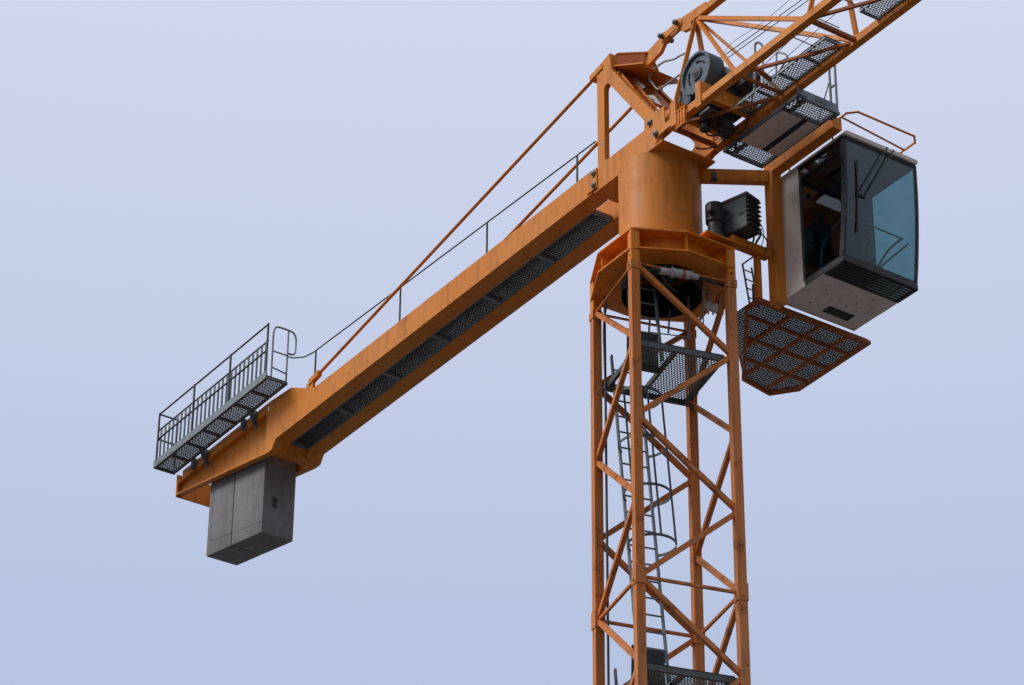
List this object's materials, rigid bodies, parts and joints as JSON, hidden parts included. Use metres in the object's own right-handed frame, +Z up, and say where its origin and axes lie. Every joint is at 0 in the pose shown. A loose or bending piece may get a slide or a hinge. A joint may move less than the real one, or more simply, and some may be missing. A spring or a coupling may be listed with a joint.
{
  "type": "tower crane",
  "caption": "Top-slewing tower crane: lattice mast with base beams, slewing drum and pinned head, triangular lattice jib, box-beam counter-jib with hung ballast, and a glazed cab.",
  "frame": {"origin": "on the mast axis at the underside of the crossed base beams", "axes": "+X along the jib away from the mast, +Y toward the side the cab hangs on, +Z up"},
  "size_m": [34.35, 4.5896, 29.976],
  "materials": {
    "orange_paint": "satin, sun faded",
    "mast_paint": "matt, weathered",
    "galvanised": "matt",
    "dark_steel": "matt",
    "cab_paint": "satin",
    "cab_glass": "tinted",
    "concrete": "rough",
    "winch_paint": "satin",
    "cable_sheath": "matt",
    "seat_cloth": "matt"
  },
  "bodies": {
    "mast": {"base_frame": "orange_paint", "mast_legs": "mast_paint", "mast_side_front": "mast_paint", "mast_side_right": "mast_paint", "mast_side_back": "mast_paint", "mast_side_left": "mast_paint", "mast_ladder": "galvanised", "ladder_cage": "dark_steel", "rest_platforms": "galvanised", "rest_platform_mesh": "galvanised", "hatch_lids": "dark_steel", "power_cable": "cable_sheath", "ring_support": "orange_paint", "slew_ring": "dark_steel"},
    "upper": {"pivot_drum": "orange_paint", "slewing_motor": "dark_steel", "resistor_box": "dark_steel", "motor_cables": "cable_sheath", "head_sides": "orange_paint", "head_floor": "orange_paint", "head_cross_beam": "orange_paint", "head_link": "orange_paint", "jib_chords": "orange_paint", "jib_side_near": "orange_paint", "jib_side_far": "orange_paint", "jib_floor_lattice": "orange_paint", "jib_walkway": "galvanised", "hoist_ropes": "dark_steel", "winch_frame": "orange_paint", "winch_casing": "winch_paint", "winch_motor": "dark_steel", "service_platform": "galvanised", "walkway_mesh": "galvanised", "counter_jib_beams": "orange_paint", "counter_jib_walkway": "galvanised", "counter_jib_rail": "dark_steel", "tie_bars": "orange_paint", "ballast_frame": "orange_paint", "ballast_block": "concrete", "ballast_platform": "galvanised", "ballast_rail": "dark_steel", "cab_frame": "orange_paint", "roof_rail": "orange_paint", "cab_platform": "orange_paint", "cab_floor": "cab_paint", "cab_roof": "cab_paint", "cab_walls": "cab_paint", "cab_glass": "cab_glass", "cab_seat": "seat_cloth"},
    "wiper_arm": {"wiper_arm": "dark_steel"},
    "wiper_link": {"wiper_link": "dark_steel"},
    "wiper_blade": {"wiper_blade": "cable_sheath"}
  },
  "joints": [
    {"name": "slew", "type": "hinge", "parent": "mast", "child": "upper", "pos_m": [0, 0, 25.9], "axis": [0, 0, 1], "continuous": true},
    {"name": "wiper_swing", "type": "hinge", "parent": "upper", "child": "wiper_arm", "pos_m": [2.594, 2.232, 27.37], "axis": [0.9968, 0, -0.0798], "range_deg": [0, 50]},
    {"name": "wiper_link_swing", "type": "hinge", "parent": "upper", "child": "wiper_link", "pos_m": [2.594, 2.352, 27.37], "axis": [0.9968, 0, -0.0798], "range_deg": [0, 50]},
    {"name": "wiper_blade_turn", "type": "hinge", "parent": "wiper_arm", "child": "wiper_blade", "pos_m": [2.51616, 1.68219, 26.39735], "axis": [0.9968, 0, -0.0798], "range_deg": [-50, 0]}
  ],
  "couplings": [
    {"joint": "wiper_link_swing", "follows": "wiper_swing", "ratio": 1},
    {"joint": "wiper_blade_turn", "follows": "wiper_swing", "ratio": -1}
  ]
}
